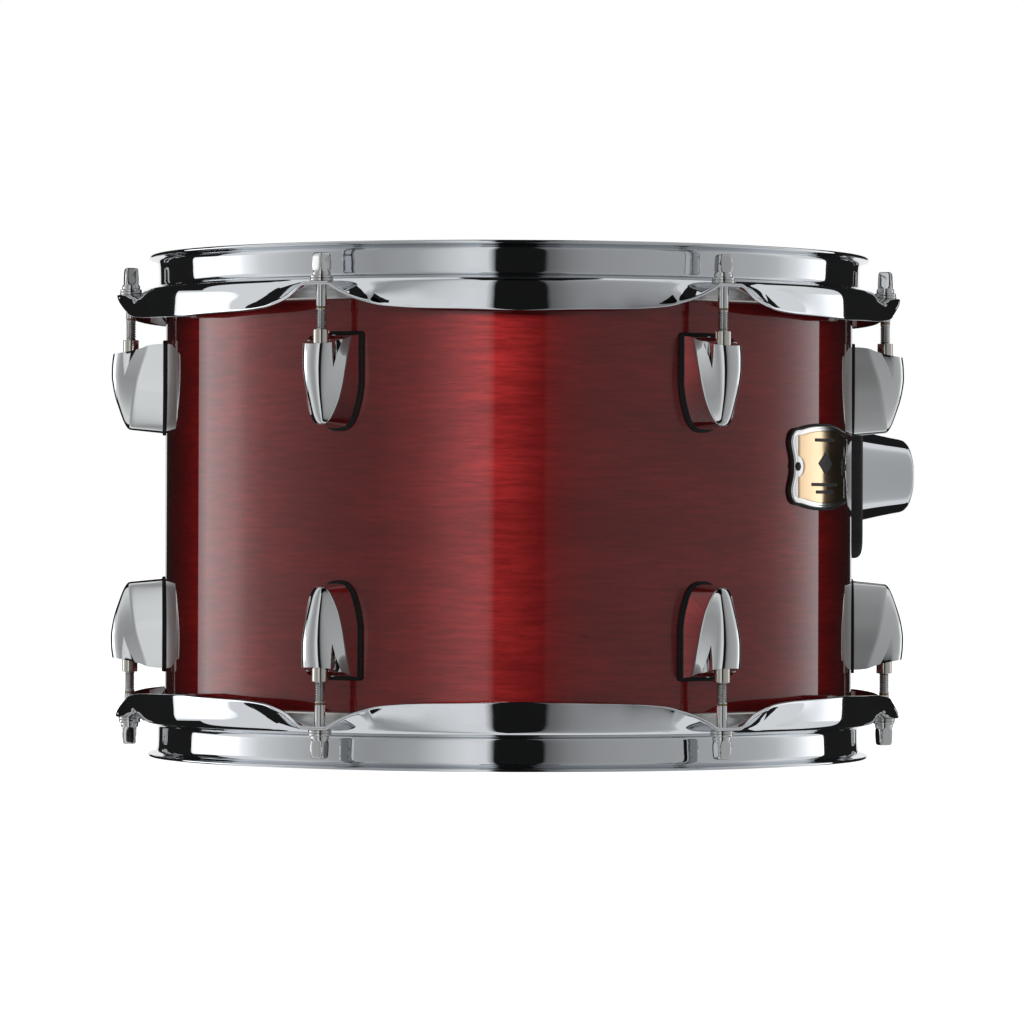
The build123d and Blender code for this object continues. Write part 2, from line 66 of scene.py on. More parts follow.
MM = 0.001
MID = (cad_low.z + cad_high.z) / 2
SHELL_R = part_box("shell")[1].x / MM
SHELL_Z = (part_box("shell")[1].z - MID) / MM
RIM_Z = (cad_high.z - MID) / MM
ROD_ANGLES = (30, 90, 150, 210, 270, 330)
ROD_TOP_Z = (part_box("batter_rod_1")[1].z - MID) / MM
ROD_LOW_Z = (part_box("batter_rod_1")[0].z - MID) / MM
WASHER_LOW_Z = (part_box("batter_rod_washers")[0].z - MID) / MM
WASHER_HIGH_Z = (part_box("batter_rod_washers")[1].z - MID) / MM
ROD_CIRCLE_R = (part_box("batter_rod_2")[0].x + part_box("batter_rod_2")[1].x) / 2 / MM
SIDES = {"batter": 1, "resonant": -1}

# The picture's viewpoint
CAMERA_ANGLE = -62.2
CAMERA_DISTANCE = 2.347
CAMERA_DROP = 0.007
CAMERA_LENS = 186.0
CAMERA_ROLL = 0.21
CAMERA_SHIFT = (0.0034, -0.0046)

# Shell
SHELL_WALL = 6.0

# Hoops
SHEET = 1.5
LIP_R = 158.8
WALL_R = 155.0
SHOULDER_R = 161.6
SHOULDER_Z = 94.6
LEDGE_Z = WASHER_LOW_Z - 0.1
ROD_HOLE_R = 2.8

# Rods and lugs
ROD_R = 2.3
THREAD_PITCH = 1.058
THREAD_END_Z = 82.4
WASHER_R = 4.9
SLEEVE_R = 3.45
SLEEVE_Z = 73.3
LUG_TIP_Z = 33.6
LUG_NUT_Z = 73.1
LUG_SIDE_STEPS = 10
LUG_FLANK_STEPS = 16
LUG_SPINE_STEPS = 10

# Badge: its rivets stand at RIVET_X on either side, and the gilt field leaves a bay of BAY_R round each
RIVET_X = 23.8
RIVET_R = 1.95
BAY_R = 4.4
FIELD_HALF = 23.6

# Tom mount
MOUNT_ANGLE = 45
MOUNT_HALF_WIDTH = 26.6
MOUNT_CORNER = 9.0
CLAMP_R = 172.0
SCREW_WAY_R = 3.1


# ---------------------------------------------------------------- shape helpers


def smooth(x, knots, values):
    """A curve through a few points that never overshoots them."""
    x = np.asarray(x, float)
    knots = np.asarray(knots, float)
    values = np.asarray(values, float)
    step = np.diff(knots)
    slope = np.diff(values) / step
    tangent = np.zeros(len(knots))
    tangent[0], tangent[-1] = slope[0], slope[-1]
    for i in range(1, len(knots) - 1):
        if slope[i - 1] * slope[i] > 0:
            a = 2 * step[i] + step[i - 1]
            b = step[i] + 2 * step[i - 1]
            tangent[i] = (a + b) / (a / slope[i - 1] + b / slope[i])
    i = np.clip(np.searchsorted(knots, x) - 1, 0, len(step) - 1)
    t = np.clip((x - knots[i]) / step[i], 0, 1)
    h00 = 2 * t**3 - 3 * t**2 + 1
    h10 = t**3 - 2 * t**2 + t
    h01 = 3 * t**2 - 2 * t**3
    h11 = t**3 - t**2
    ends = h00 * values[i] + h01 * values[i + 1]
    return ends + step[i] * (h10 * tangent[i] + h11 * tangent[i + 1])


def smoothstep(x, low, high):
    t = np.clip((np.asarray(x, float) - low) / (high - low), 0, 1)
    return t * t * (3 - 2 * t)


def soft_max(a, b, width):
    return (a + b + np.sqrt((a - b) ** 2 + width**2)) / 2


def bezier(t, *places):
    """A point on the curve whose ends are the first and the last place, drawn towards those between."""
    while len(places) > 1:
        places = [a * (1 - t) + b * t for a, b in zip(places, places[1:])]
    return places[0]


def grid_faces(rows, columns, wrap_rows=False):
    """Quads between the points of a grid whose index is row * columns + column, closed round each row."""
    faces = []
    for i in range(rows if wrap_rows else rows - 1):
        j = (i + 1) % rows
        for k in range(columns):
            m = (k + 1) % columns
            faces.append((i * columns + k, i * columns + m, j * columns + m, j * columns + k))
    return faces


def flipped(faces):
    """The same faces, looking the other way."""
    return [tuple(reversed(face)) for face in faces]


def make_mesh(name, points, faces, side=1, sharp=35):
    """A smooth-shaded mesh from points in millimetres about the mid-plane; side -1 mirrors it."""
    points = np.array(points, float).reshape(-1, 3) * MM
    points[:, 2] *= side
    points[:, 2] += MID
    if side < 0:
        faces = flipped(faces)
    mesh = bpy.data.meshes.new(name)
    mesh.from_pydata(points.tolist(), [], faces)
    mesh.polygons.foreach_set("use_smooth", [True] * len(mesh.polygons))
    mesh.set_sharp_from_angle(angle=math.radians(sharp))
    mesh.update()
    return mesh


def join(parts):
    """Several (points, faces) as one."""
    points, faces, start = [], [], 0
    for part_points, part_faces in parts:
        part_points = np.asarray(part_points, float).reshape(-1, 3)
        points.append(part_points)
        faces += [tuple(index + start for index in face) for face in part_faces]
        start += len(part_points)
    return np.concatenate(points), faces


def turned(part, angle):
    """A part carried round the drum's axis."""
    points, faces = part
    points = np.asarray(points, float).reshape(-1, 3)
    a = math.radians(angle)
    turn = np.array([[math.cos(a), -math.sin(a), 0], [math.sin(a), math.cos(a), 0], [0, 0, 1]])
    return points @ turn.T, faces


def on_rod_circle(part):
    """A part about the Z axis, moved out to where a rod would stand at the badge's angle."""
    points, faces = part
    return points - (0, ROD_CIRCLE_R, 0), faces


def at_rods(part):
    return join([turned(part, angle) for angle in ROD_ANGLES])


def lathe(profile, columns=48, closed=False):
    """A (radius, height) profile turned about the Z axis. Its faces point right of its direction."""
    turn = np.linspace(0, 2 * math.pi, columns, endpoint=False)
    profile = np.asarray(profile, float)
    radius = profile[:, :1]
    height = np.repeat(profile[:, 1:], columns, axis=1)
    points = np.stack([radius * np.cos(turn), radius * np.sin(turn), height], axis=-1)
    return points.reshape(-1, 3), grid_faces(len(profile), columns, wrap_rows=closed)


def pin(radius, low, high, columns=40):
    """A plain cylinder about the Z axis, to cut with."""
    return lathe([(0.001, low), (radius, low), (radius, high), (0.001, high)], columns)


def outward(part, height):
    """Lays a turned part along the badge's direction, its axis out of the shell."""
    points, faces = part
    return np.stack([points[:, 0], -points[:, 2], points[:, 1] + height], axis=-1), faces


def sideways(part, height):
    """Lays a turned part along +X, beside the shell on the clamp's line."""
    points, faces = part
    return np.stack([points[:, 2], points[:, 0] - CLAMP_R, points[:, 1] + height], axis=-1), flipped(faces)


def rounded(corners, radius, steps=4):
    """A closed (radius, height) outline with each corner rounded off."""
    out = []
    count = len(corners)
    for i in range(count):
        corner = Vector(corners[i])
        before = Vector(corners[i - 1]) - corner
        after = Vector(corners[(i + 1) % count]) - corner
        cut = min(radius, before.length * 0.45, after.length * 0.45)
        first = corner + before.normalized() * cut
        last = corner + after.normalized() * cut
        out += [tuple(bezier(k / steps, first, corner, last)) for k in range(steps + 1)]
    return out


def add(name, mesh, body, slot, nodes=(), turn=0.0):
    """Puts a mesh in the scene as a piece that rides on a CAD body, with its slot's look if it has none."""
    obj = bpy.data.objects.new(name, mesh)
    bpy.context.scene.collection.objects.link(obj)
    if not mesh.materials:
        mesh.materials.append(LOOKS[slot])
    obj.matrix_world = Matrix.Rotation(math.radians(turn), 4, "Z")
    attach(obj, body)
    if nodes:
        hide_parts(*nodes)
    return obj


def cut_away(obj, part):
    """Cuts a (points, faces) solid out of a piece and keeps the result as plain mesh."""
    cutter = bpy.data.objects.new("cutter", make_mesh("cutter", *part))
    bpy.context.scene.collection.objects.link(cutter)
    modifier = obj.modifiers.new("cut", "BOOLEAN")
    modifier.operation = "DIFFERENCE"
    modifier.solver = "EXACT"
    modifier.object = cutter
    bpy.context.view_layer.update()
    depsgraph = bpy.context.evaluated_depsgraph_get()
    cut = bpy.data.meshes.new_from_object(obj.evaluated_get(depsgraph))
    obj.modifiers.clear()
    obj.data = cut
    cut.set_sharp_from_angle(angle=math.radians(35))
    bpy.data.objects.remove(cutter)


# ---------------------------------------------------------------- materials


class Look:
    """A node material with one principled shader."""

    def __init__(self, name, **sockets):
        self.material = bpy.data.materials.new(name)
        self.material.use_nodes = True
        self.nodes = self.material.node_tree.nodes
        self.links = self.material.node_tree.links
        self.shader = self.nodes["Principled BSDF"]
        for key, value in sockets.items():
            self.shader.inputs[key.replace("_", " ")].default_value = value

    def node(self, kind, **values):
        made = self.nodes.new(kind)
        for key, value in values.items():
            if key in made.inputs:
                made.inputs[key].default_value = value
            else:
                setattr(made, key, value)
        return made

    def link(self, source, target):
        self.links.new(source, target)

    def feed(self, source, socket):
        self.links.new(source, self.shader.inputs[socket])

    def coords(self, scale):
        """Object coordinates, stretched by a scale for each axis."""
        where = self.node("ShaderNodeTexCoord")
        mapping = self.node("ShaderNodeMapping")
        mapping.inputs["Scale"].default_value = scale
        self.link(where.outputs["Object"], mapping.inputs["Vector"])
        return mapping.outputs["Vector"]

    def noise(self, scale, detail=4.0, roughness=0.55):
        """A noise whose grain has that many cells per metre along each axis."""
        made = self.node("ShaderNodeTexNoise", Scale=1.0, Detail=detail, Roughness=roughness)
        self.link(self.coords(scale), made.inputs["Vector"])
        return made.outputs["Fac"]

    def spread(self, source, low, high, to_low, to_high):
        """Maps one range of a value on to another."""
        made = self.node("ShaderNodeMapRange")
        for key, value in zip(("From Min", "From Max", "To Min", "To Max"), (low, high, to_low, to_high)):
            made.inputs[key].default_value = value
        self.link(source, made.inputs["Value"])
        return made.outputs["Result"]

    def mix(self, factor, first, second):
        """Mixes two colours, each a colour or a socket."""
        made = self.node("ShaderNodeMix", data_type="RGBA")
        for value, socket in zip((factor, first, second), (made.inputs[0], made.inputs[6], made.inputs[7])):
            if isinstance(value, (tuple, float)):
                socket.default_value = value
            else:
                self.link(value, socket)
        return made.outputs[2]

    def bump(self, height, strength, distance):
        made = self.node("ShaderNodeBump", Strength=strength, Distance=distance)
        self.link(height, made.inputs["Height"])
        self.feed(made.outputs["Normal"], "Normal")


def metal(name, colour, roughness, smudge, ripple=0.0):
    """Polished or plated metal: roughness varies with faint smudges, and the plating ripples."""
    look = Look(name, Base_Color=(*colour, 1), Metallic=1.0, Roughness=roughness)
    cloud = look.noise((60, 60, 60), 5)
    clean = max(roughness - smudge / 2, 0.01)
    look.feed(look.spread(cloud, 0.35, 0.75, clean, roughness + smudge), "Roughness")
    tone = look.noise((14, 14, 14), 3)
    dark = tuple(c * 0.94 for c in colour)
    look.feed(look.mix(look.spread(tone, 0.4, 0.7, 0, 1), (*colour, 1), (*dark, 1)), "Base Color")
    if ripple:
        look.bump(look.noise((180, 180, 180), 2), ripple, 0.0002)
    return look.material


def rubber(name, shade, roughness):
    """Matt black rubber or moulded plastic with a fine tooth."""
    look = Look(name, Base_Color=(shade, shade, shade, 1), Roughness=roughness)
    look.shader.inputs["Specular IOR Level"].default_value = 0.16
    tone = look.spread(look.noise((90, 90, 90), 4), 0.3, 0.7, 0, 1)
    light = (shade * 1.6, shade * 1.6, shade * 1.7, 1)
    look.feed(look.mix(tone, (shade, shade, shade, 1), light), "Base Color")
    look.bump(look.noise((2500, 2500, 2500), 2), 0.25, 0.0001)
    return look.material


def lacquer():
    """Deep red stain over birch under a thick gloss: fine pores and a soft figure run round the drum."""
    look = Look("shell_lacquer", Roughness=0.41, Metallic=0.95)
    look.shader.inputs["Specular Tint"].default_value = (0.22, 0.30, 0.30, 1)
    look.shader.inputs["Coat Weight"].default_value = 1.0
    look.shader.inputs["Coat Roughness"].default_value = 0.012
    look.shader.inputs["Coat IOR"].default_value = 1.55
    figure = look.spread(look.noise((16, 16, 44), 4, 0.6), 0.35, 0.65, 0, 1)
    streaks = look.spread(look.noise((55, 55, 560), 5, 0.65), 0.38, 0.62, 0, 1)
    pores = look.spread(look.noise((150, 150, 2200), 3, 0.5), 0.58, 0.72, 0, 1)
    colour = look.mix(figure, (0.150, 0.0090, 0.0093, 1), (0.205, 0.0126, 0.0128, 1))
    colour = look.mix(look.spread(streaks, 0, 1, 0.48, 0), colour, (0.085, 0.0047, 0.0051, 1))
    colour = look.mix(look.spread(pores, 0, 1, 0, 0.45), colour, (0.048, 0.0027, 0.0030, 1))
    look.feed(colour, "Base Color")
    look.feed(look.spread(streaks, 0, 1, 0.43, 0.39), "Roughness")
    return look.material


def birch():
    """The shell's bare inside: pale rotary-cut birch."""
    look = Look("shell_birch", Roughness=0.55)
    figure = look.spread(look.noise((7, 7, 60), 4), 0.3, 0.7, 0, 1)
    lines = look.spread(look.noise((30, 30, 1100), 5), 0.4, 0.66, 0, 1)
    colour = look.mix(figure, (0.62, 0.42, 0.24, 1), (0.74, 0.55, 0.34, 1))
    colour = look.mix(look.spread(lines, 0, 1, 0, 0.35), colour, (0.42, 0.24, 0.12, 1))
    look.feed(colour, "Base Color")
    look.bump(lines, 0.15, 0.0001)
    return look.material


def coated_film():
    """A coated batter head: chalky white spray with a fine tooth."""
    look = Look("coated_film", Roughness=0.72)
    tone = look.spread(look.noise((25, 25, 25), 5), 0.3, 0.7, 0, 1)
    look.feed(look.mix(tone, (0.87, 0.87, 0.855, 1), (0.90, 0.90, 0.888, 1)), "Base Color")
    look.bump(look.noise((1600, 1600, 1600), 4), 0.35, 0.00015)
    return look.material


def clear_film():
    """A clear resonant head, slightly grey, with a soft sheen."""
    look = Look("clear_film", Roughness=0.06, IOR=1.5)
    look.shader.inputs["Transmission Weight"].default_value = 0.92
    tone = look.spread(look.noise((20, 20, 20), 3), 0.3, 0.7, 0, 1)
    look.feed(look.mix(tone, (0.90, 0.91, 0.90, 1), (0.96, 0.96, 0.95, 1)), "Base Color")
    look.feed(look.spread(tone, 0, 1, 0.04, 0.12), "Roughness")
    return look.material


def brushed(name, colour, roughness, direction):
    """Metal with a fine directional brush."""
    look = Look(name, Base_Color=(*colour, 1), Metallic=1.0, Roughness=roughness)
    lines = look.noise(direction, 4)
    look.feed(look.spread(lines, 0.3, 0.7, roughness - 0.06, roughness + 0.1), "Roughness")
    dark = tuple(c * 0.86 for c in colour)
    look.feed(look.mix(look.spread(lines, 0.35, 0.65, 0, 1), (*colour, 1), (*dark, 1)), "Base Color")
    look.bump(lines, 0.12, 0.00005)
    return look.material


CHROME = (0.71, 0.735, 0.76)

# Colour, roughness, smudges and, on the large castings and pressings, ripple
METALS = {
    "hoop_chrome": (CHROME, 0.03, 0.03, 0.02),
    "lug_chrome": ((0.70, 0.72, 0.72), 0.035, 0.03, 0.03),
    "rod_chrome": ((0.66, 0.67, 0.67), 0.07, 0.05),
    "rod_thread": ((0.60, 0.60, 0.59), 0.26, 0.10),
    "rod_stain": ((0.34, 0.27, 0.17), 0.34, 0.10),
    "mount_chrome": (CHROME, 0.03, 0.03),
    "washer_steel": ((0.62, 0.62, 0.60), 0.16, 0.08),
    "nut_steel": ((0.66, 0.64, 0.58), 0.13, 0.06),
    "screw_steel": ((0.58, 0.58, 0.56), 0.24, 0.10),
    "grommet_steel": ((0.66, 0.66, 0.64), 0.12, 0.06),
    "badge_metal": ((0.80, 0.80, 0.79), 0.12, 0.06),
    "badge_gold": ((0.80, 0.58, 0.36), 0.10, 0.05),
}
# Shade and roughness
RUBBERS = {
    "gasket_rubber": (0.006, 0.5),
    "badge_backing": (0.007, 0.42),
    "badge_rivet": (0.008, 0.3),
    "mount_black": (0.014, 0.5),
    "bushing_plastic": (0.020, 0.4),
}
LOOKS = {
    "flesh_aluminium": brushed("flesh_aluminium", (0.72, 0.72, 0.70), 0.34, (40, 40, 1400)),
    "coated_film": coated_film(),
    "clear_film": clear_film(),
    "shell_lacquer": lacquer(),
    "shell_birch": birch(),
}
LOOKS.update({name: metal(name, *values) for name, values in METALS.items()})
LOOKS.update({name: rubber(name, *values) for name, values in RUBBERS.items()})


# ---------------------------------------------------------------- hoops


def lip_and_wall():
    """The hoop's outer face from its rolled-out lip down to the shoulder, as (radius, height)."""
    lip = [(LIP_R, RIM_Z - 1.25), (158.2, 108.65), (157.4, 108.45), (156.7, 108.2), (156.1, 107.85),
           (155.6, 107.35), (155.25, 106.7), (155.07, 105.9)]
    wall = [(WALL_R, 104.5), (154.93, 102.5), (154.9, 100.5), (154.93, 98.8), (155.02, 97.6),
            (155.15, 96.9)]
    shoulder = [(155.45, 96.35), (155.95, 96.02), (156.8, 95.85), (158.0, 95.65), (159.4, 95.35),
                (160.6, 95.0), (161.2, 94.8)]
    return lip + wall + shoulder


def main_flare(away, t):
    """The flare at angles from the nearest rod, well away from it; t is 0 at the shoulder, 4 at the edge."""
    knots = (8, 12, 16, 21, 30)
    radii = [
        np.full_like(away, SHOULDER_R),
        smooth(away, knots, (163.0, 162.95, 162.9, 162.85, 162.85)),
        smooth(away, knots, (164.5, 163.9, 163.6, 163.45, 163.45)),
        smooth(away, knots, (166.8, 165.3, 164.1, 163.7, 163.7)),
        smooth(away, knots, (169.7, 167.0, 164.9, 163.9, 163.85)),
    ]
    heights = [
        np.full_like(away, SHOULDER_Z),
        smooth(away, knots, (93.0, 93.1, 93.15, 93.2, 93.2)),
        smooth(away, knots, (91.0, 90.8, 90.6, 90.6, 90.6)),
        smooth(away, knots, (88.3, 87.2, 86.6, 86.2, 86.0)),
        smooth(away, (8, 10, 15, 22, 30), (84.6, 83.5, 82.4, 81.9, 81.3)),
    ]
    position = [0, 1, 2, 3, 4]
    columns = range(len(away))
    r = np.array([smooth(t, position, [row[k] for row in radii]) for k in columns]).T
    z = np.array([smooth(t, position, [row[k] for row in heights]) for k in columns]).T
    return r, z


def flare(away, t):
    """The whole flare: near a rod it is drawn up, straight from the shoulder, into the rod's ledge."""
    r, z = main_flare(np.maximum(away, 8.0), t)
    edge_r = smooth(away, (0, 1.9, 3, 3.9, 5, 8, 9), (172.9, 172.9, 172.5, 171.8, 170.9, 169.7, 169.7))
    edge_z = smooth(away, (0, 1.7, 2.3, 3, 3.9, 5, 6.3, 8, 9),
                    (LEDGE_Z, LEDGE_Z, 92.6, 91.2, 89.6, 87.8, 86.3, 84.8, 84.0))
    near_r = SHOULDER_R + (r - SHOULDER_R) * (edge_r - SHOULDER_R) / (r[-1] - SHOULDER_R)
    slope = (z[-1] - z[-2]) / (r[-1] - r[-2])
    near_z = np.array([np.interp(near_r[:, k], r[:, k], z[:, k]) for k in range(len(away))]).T
    near_z += np.minimum(0, slope * np.maximum(near_r - r[-1], 0))
    share = (near_r - SHOULDER_R - 0.6) / (edge_r - SHOULDER_R - 0.6)
    level = smooth(away, (0, 5, 9), (LEDGE_Z, LEDGE_Z + 0.2, LEDGE_Z + 0.8))
    ruled = level + (edge_z - level) * np.clip(share, 0, 1)
    drawn = soft_max(near_z, ruled, 0.5)
    weight = 1 - smoothstep(away, 7.0, 9.2)
    near = away < 8.0
    r = np.where(near, near_r, r)
    z = np.where(near, near_z, z)
    return r, z + weight * (np.where(near, drawn, soft_max(z, ruled, 0.5)) - z)


def hoop_part():
    """A pressed hoop as a closed grid: outer face, rounded edge, inner face, rounded lip."""
    near = np.arange(-10, 10.01, 0.25)
    far = np.arange(11, 29.5, 1.0)
    sector = np.concatenate([-far[::-1], near, far, [30.0]])
    away = np.abs(np.tile(sector, 6))
    angle = np.concatenate([sector + start for start in ROD_ANGLES])
    fixed = lip_and_wall()
    wall_r = np.repeat([[p[0]] for p in fixed], len(angle), axis=1)
    wall_z = np.repeat([[p[1]] for p in fixed], len(angle), axis=1)
    flare_r, flare_z = flare(away, np.linspace(0, 4, 33))
    outer_r = np.concatenate([wall_r, flare_r])
    outer_z = np.concatenate([wall_z, flare_z])
    turn = np.radians(angle)
    outer = np.stack([outer_r * np.sin(turn), -outer_r * np.cos(turn), outer_z], axis=-1)
    along = np.gradient(outer, axis=0)
    around = np.roll(outer, -1, axis=1) - np.roll(outer, 1, axis=1)
    normal = np.cross(around, along)
    normal /= np.linalg.norm(normal, axis=-1, keepdims=True)
    normal *= np.sign((normal[5] * outer[5] * (1, 1, 0)).sum())
    inner = outer - normal * SHEET

    def edge(row, towards):
        """Rounds the sheet's edge beyond a row, from the outer face to the inner one."""
        out = towards / np.linalg.norm(towards, axis=-1, keepdims=True)
        middle = outer[row] - normal[row] * SHEET / 2
        steps = np.radians([30, 60, 90, 120, 150])
        half = SHEET / 2
        return [middle + normal[row] * math.cos(s) * half + out * math.sin(s) * half * 0.8 for s in steps]

    bottom = edge(-1, outer[-1] - outer[-2])
    top = edge(0, outer[0] - outer[1])[::-1]
    grid = np.concatenate([outer, bottom, inner[::-1], top])
    return grid.reshape(-1, 3), grid_faces(len(grid), len(angle), wrap_rows=True)


def make_hoops():
    """The two pressed hoops, each drilled through its six ledges."""
    part = hoop_part()
    points, faces = at_rods(on_rod_circle(pin(ROD_HOLE_R, LEDGE_Z - 6, LEDGE_Z + 6, 32)))
    for name, side in SIDES.items():
        mesh = make_mesh("hoop", *part, side, 50)
        obj = add(f"{name}_hoop_pressed", mesh, f"{name}_head", "hoop_chrome", [f"{name}_hoop"])
        cut_away(obj, (points * (1, 1, side), faces if side > 0 else flipped(faces)))


# ---------------------------------------------------------------- rods, washers and sleeves


def superellipse(angle, power):
    """How far out a rounded square reaches, in half-widths."""
    return (np.abs(np.cos(angle)) ** power + np.abs(np.sin(angle)) ** power) ** (-1 / power)


def rod_part():
    """A tension rod about its own axis: threaded end, plain shank, flange, collar and square head."""
    columns = 48
    turn = np.linspace(0, 2 * math.pi, columns, endpoint=False)
    rows = []

    def ring(height, radius):
        level = np.full(columns, height)
        rows.append(np.stack([radius * np.cos(turn), radius * np.sin(turn), level], axis=-1))

    ring(ROD_LOW_Z, 0.01)
    ring(ROD_LOW_Z, ROD_R - 0.7)
    for height in np.arange(ROD_LOW_Z + 0.7, THREAD_END_Z, THREAD_PITCH / 6):
        phase = (height / THREAD_PITCH - turn / (2 * math.pi)) % 1.0
        crest = 1 - np.abs(2 * phase - 1)
        fade = min(1.0, (THREAD_END_Z - height) / 1.5)
        ring(height, ROD_R - 0.55 * fade * (1 - crest) - 0.05)
    ring(THREAD_END_Z + 0.1, ROD_R - 0.3)
    ring(THREAD_END_Z + 0.5, ROD_R - 0.05)
    for above, radius in ((-0.05, ROD_R - 0.05), (0, 4.5), (0.15, 4.72), (0.5, 4.8), (0.95, 4.76),
                          (1.15, 4.55), (1.25, 4.1), (1.4, 3.95), (2.0, 3.98), (2.6, 3.92), (3.1, 3.72)):
        ring(WASHER_HIGH_Z + above, radius)
    start = WASHER_HIGH_Z + 3.3
    length = ROD_TOP_Z - start
    for t, half, power in ((0, 3.25, 3.2), (0.06, 3.2, 4.5), (0.15, 3.16, 7), (0.45, 3.08, 8),
                           (0.8, 2.95, 8), (0.90, 2.86, 6.5), (0.96, 2.66, 5.5), (0.99, 2.4, 5),
                           (1.0, 2.0, 4.5), (1.0, 0.01, 4)):
        ring(start + t * length, half * superellipse(turn, power))
    return np.concatenate(rows), grid_faces(len(rows), columns)


def rod_look(height):
    """A rod's look at a height: 0 plated, 1 threaded, 2 stained where the thread runs out."""
    if height > THREAD_END_Z + 0.35:
        return 0
    return 1 if height < THREAD_END_Z - 0.5 else 2


def make_rods():
    """Each rod stands on its own body; the heads are turned as a tuner would leave them."""
    random.seed(8)
    rod = rod_part()
    for name, side in SIDES.items():
        for number, angle in enumerate(ROD_ANGLES, start=1):
            own = on_rod_circle(turned(rod, random.uniform(-24, 24)))
            mesh = make_mesh("rod", *own, side, 40)
            for look in ("rod_chrome", "rod_thread", "rod_stain"):
                mesh.materials.append(LOOKS[look])
            for polygon in mesh.polygons:
                polygon.material_index = rod_look(abs(polygon.center.z - MID) / MM)
            node = f"{name}_rod_{number}"
            add(f"{node}_threaded", mesh, f"{node}_body", "rod_chrome", [node], angle)


def make_washers():
    """A turned washer under every rod's flange."""
    corners = [(ROD_HOLE_R, WASHER_LOW_Z), (WASHER_R, WASHER_LOW_Z), (WASHER_R, WASHER_HIGH_Z),
               (ROD_HOLE_R, WASHER_HIGH_Z)]
    washers = at_rods(on_rod_circle(lathe(rounded(corners, 0.35), 48, True)))
    for name, side in SIDES.items():
        mesh = make_mesh("washers", *washers, side)
        add(f"{name}_washers_turned", mesh, f"{name}_head", "washer_steel", [f"{name}_rod_washers"])


def make_sleeves():
    """The threaded inserts: a body inside the lug and a sleeve that stands out of it."""
    bore = ROD_R + 0.05
    corners = [(bore, 51.0), (4.8, 51.0), (4.8, 65.5), (SLEEVE_R, 65.6), (SLEEVE_R, SLEEVE_Z),
               (bore, SLEEVE_Z)]
    sleeves = at_rods(on_rod_circle(lathe(rounded(corners, 0.35), 48, True)))
    for name, side in SIDES.items():
        mesh = make_mesh("sleeves", *sleeves, side)
        add(f"{name}_lug_sleeves", mesh, "shell", "nut_steel", [f"{name}_lug_nuts"])


# ---------------------------------------------------------------- lugs


def lug_section(z):
    """Half of a lug's outline across one height, from the shell to the spine's top, as (across, out).

    The side wall rises from (base, 0) to a crease at (half, out). From there a hollow flank climbs
    to the round spine, whose highest point is top.
    """
    base = float(smooth(z, (33.6, 33.9, 34.5, 35.5, 37, 41, 46, 52, 73.1),
                        (1.2, 2.8, 4.2, 5.3, 6.6, 8.4, 9.8, 10.5, 10.5)))
    half = float(smooth(z, (33.6, 34.0, 34.6, 35.5, 37.2, 40, 45, 54.5, 61, 66, 73.1),
                        (1.0, 2.2, 3.1, 3.9, 4.9, 6.2, 7.9, 9.4, 9.75, 9.85, 10.1)))
    out = float(smooth(z, (33.6, 34.4, 37, 40, 45, 54.5, 61, 66, 73.1),
                       (15.4, 15.8, 15.6, 15.1, 14.4, 12.6, 10.6, 8.8, 6.6)))
    radius = float(smooth(z, (33.6, 34.1, 34.8, 36, 38, 40, 42, 45, 48, 52, 56, 61, 67, 73.1),
                          (0.9, 2.1, 2.9, 3.7, 4.3, 4.6, 4.9, 5.3, 5.8, 6.4, 6.9, 7.2, 7.5, 7.8)))
    top = float(smooth(z, (33.6, 34.0, 34.6, 35.5, 37.2, 39.7, 42.8, 48, 52, 57.7, 62, 67, 73.1),
                       (15.7, 16.4, 17.0, 17.6, 18.5, 19.5, 20.6, 22.3, 23.2, 23.9, 23.8, 23.2, 21.9)))
    radius = min(radius, half * 0.95)
    centre = top - radius
    crease = Vector((half, out))
    reach = crease - Vector((0, centre))
    lift = math.atan2(reach.y, reach.x) + math.acos(min(radius / reach.length, 1.0)) + math.radians(4)
    side_point = Vector((radius * math.cos(lift), centre + radius * math.sin(lift)))
    third = (side_point - crease).length / 3
    first = crease + (side_point - crease).normalized() * third
    second = side_point + Vector((math.sin(lift), -math.cos(lift))) * third
    foot = Vector((base, 0.0))
    soft = min(0.8, half * 0.3)
    corner_in = crease + (foot - crease).normalized() * soft
    side = [foot.lerp(corner_in, k / LUG_SIDE_STEPS) for k in range(LUG_SIDE_STEPS)]
    steps = [k / LUG_FLANK_STEPS for k in range(2, LUG_FLANK_STEPS + 1)]
    flank = [bezier(t, crease, first, second, side_point) for t in steps]
    corner_out = crease + (flank[0] - crease).normalized() * soft
    corner = [bezier(k / 4, corner_in, crease, corner_out) for k in range(5)]
    spine = []
    for k in range(1, LUG_SPINE_STEPS + 1):
        a = lift + (math.pi / 2 - lift) * k / LUG_SPINE_STEPS
        spine.append(Vector((radius * math.cos(a), centre + radius * math.sin(a))))
    return side + corner + flank + spine


def nut_end(out):
    """Where the lug ends at the nut end, scooped between its foot and its spine."""
    return float(smooth(out, (0, 1.2, 6.3, 11, 16, 20, 24), (71.4, 71.4, 71.0, 69.4, 68.2, 67.5, 67.0)))


